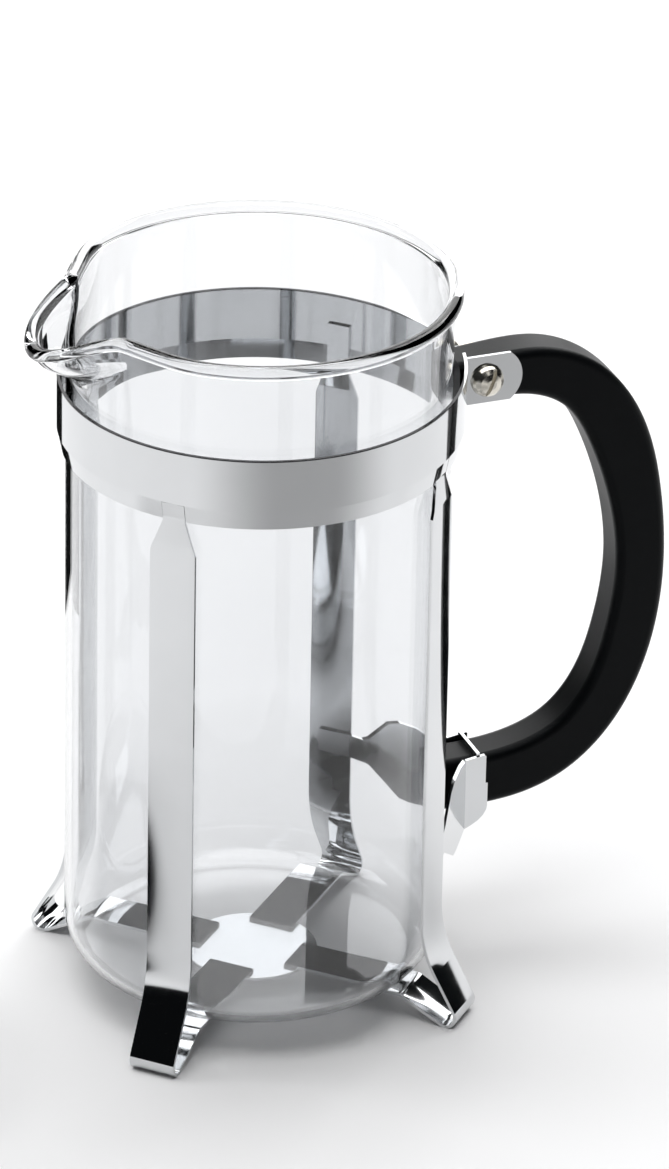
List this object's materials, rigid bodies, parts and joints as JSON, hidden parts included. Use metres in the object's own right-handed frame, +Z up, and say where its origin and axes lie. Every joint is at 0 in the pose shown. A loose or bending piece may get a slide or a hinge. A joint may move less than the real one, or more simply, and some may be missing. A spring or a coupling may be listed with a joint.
{
  "type": "french press",
  "caption": "French press coffee maker: spouted glass beaker in a legged polished-steel frame with a black C-shaped handle, its domed lid and plunger standing beside it.",
  "frame": {"origin": "the axis of the press where it meets the table", "axes": "+Z up along the beaker's axis, +X towards the handle, -X towards the spout; the lid and plunger stand at -X"},
  "size_m": [0.2978, 0.1048, 0.2403],
  "materials": {
    "polished_steel": "mirror polished",
    "black_plastic": "satin moulded",
    "nickel": "nickel plated",
    "glass": "clear borosilicate",
    "filter_steel": "bright stamped",
    "filter_mesh": "woven wire",
    "brass": "turned"
  },
  "bodies": {
    "frame": {"frame_band": "polished_steel", "leg_front_left": "polished_steel", "leg_front_right": "polished_steel", "leg_back_right": "polished_steel", "leg_back_left": "polished_steel", "base_plate": "polished_steel", "handle": "black_plastic", "handle_bracket": "polished_steel", "handle_bolt": "nickel", "handle_nut": "nickel"},
    "beaker": {"beaker": "glass"},
    "plunger": {"cross_plate": "filter_steel", "mesh_screen": "filter_mesh", "spring_coil": "filter_steel", "spiral_plate": "filter_steel", "rod_collar": "filter_steel", "plunger_rod": "polished_steel", "knob_insert": "brass", "knob": "black_plastic"},
    "lid_guide": {"lid_bush": "filter_steel"},
    "lid": {"lid_dome": "polished_steel", "lid_strainer": "black_plastic", "lid_nut": "filter_steel"}
  },
  "joints": [
    {"name": "beaker_lift", "type": "slide", "parent": "frame", "child": "beaker", "axis": [0, 0, 1], "range_m": [0, 0.2]},
    {"name": "plunger_lift", "type": "slide", "parent": "frame", "child": "plunger", "axis": [0, 0, 1], "range_m": [0, 0.25]},
    {"name": "lid_slide", "type": "slide", "parent": "plunger", "child": "lid_guide", "axis": [0, 0, 1], "range_m": [0, 0.169]},
    {"name": "lid_turn", "type": "hinge", "parent": "lid_guide", "child": "lid", "pos_m": [-0.135, 0, 0.0168], "axis": [0, 0, 1], "continuous": true}
  ]
}
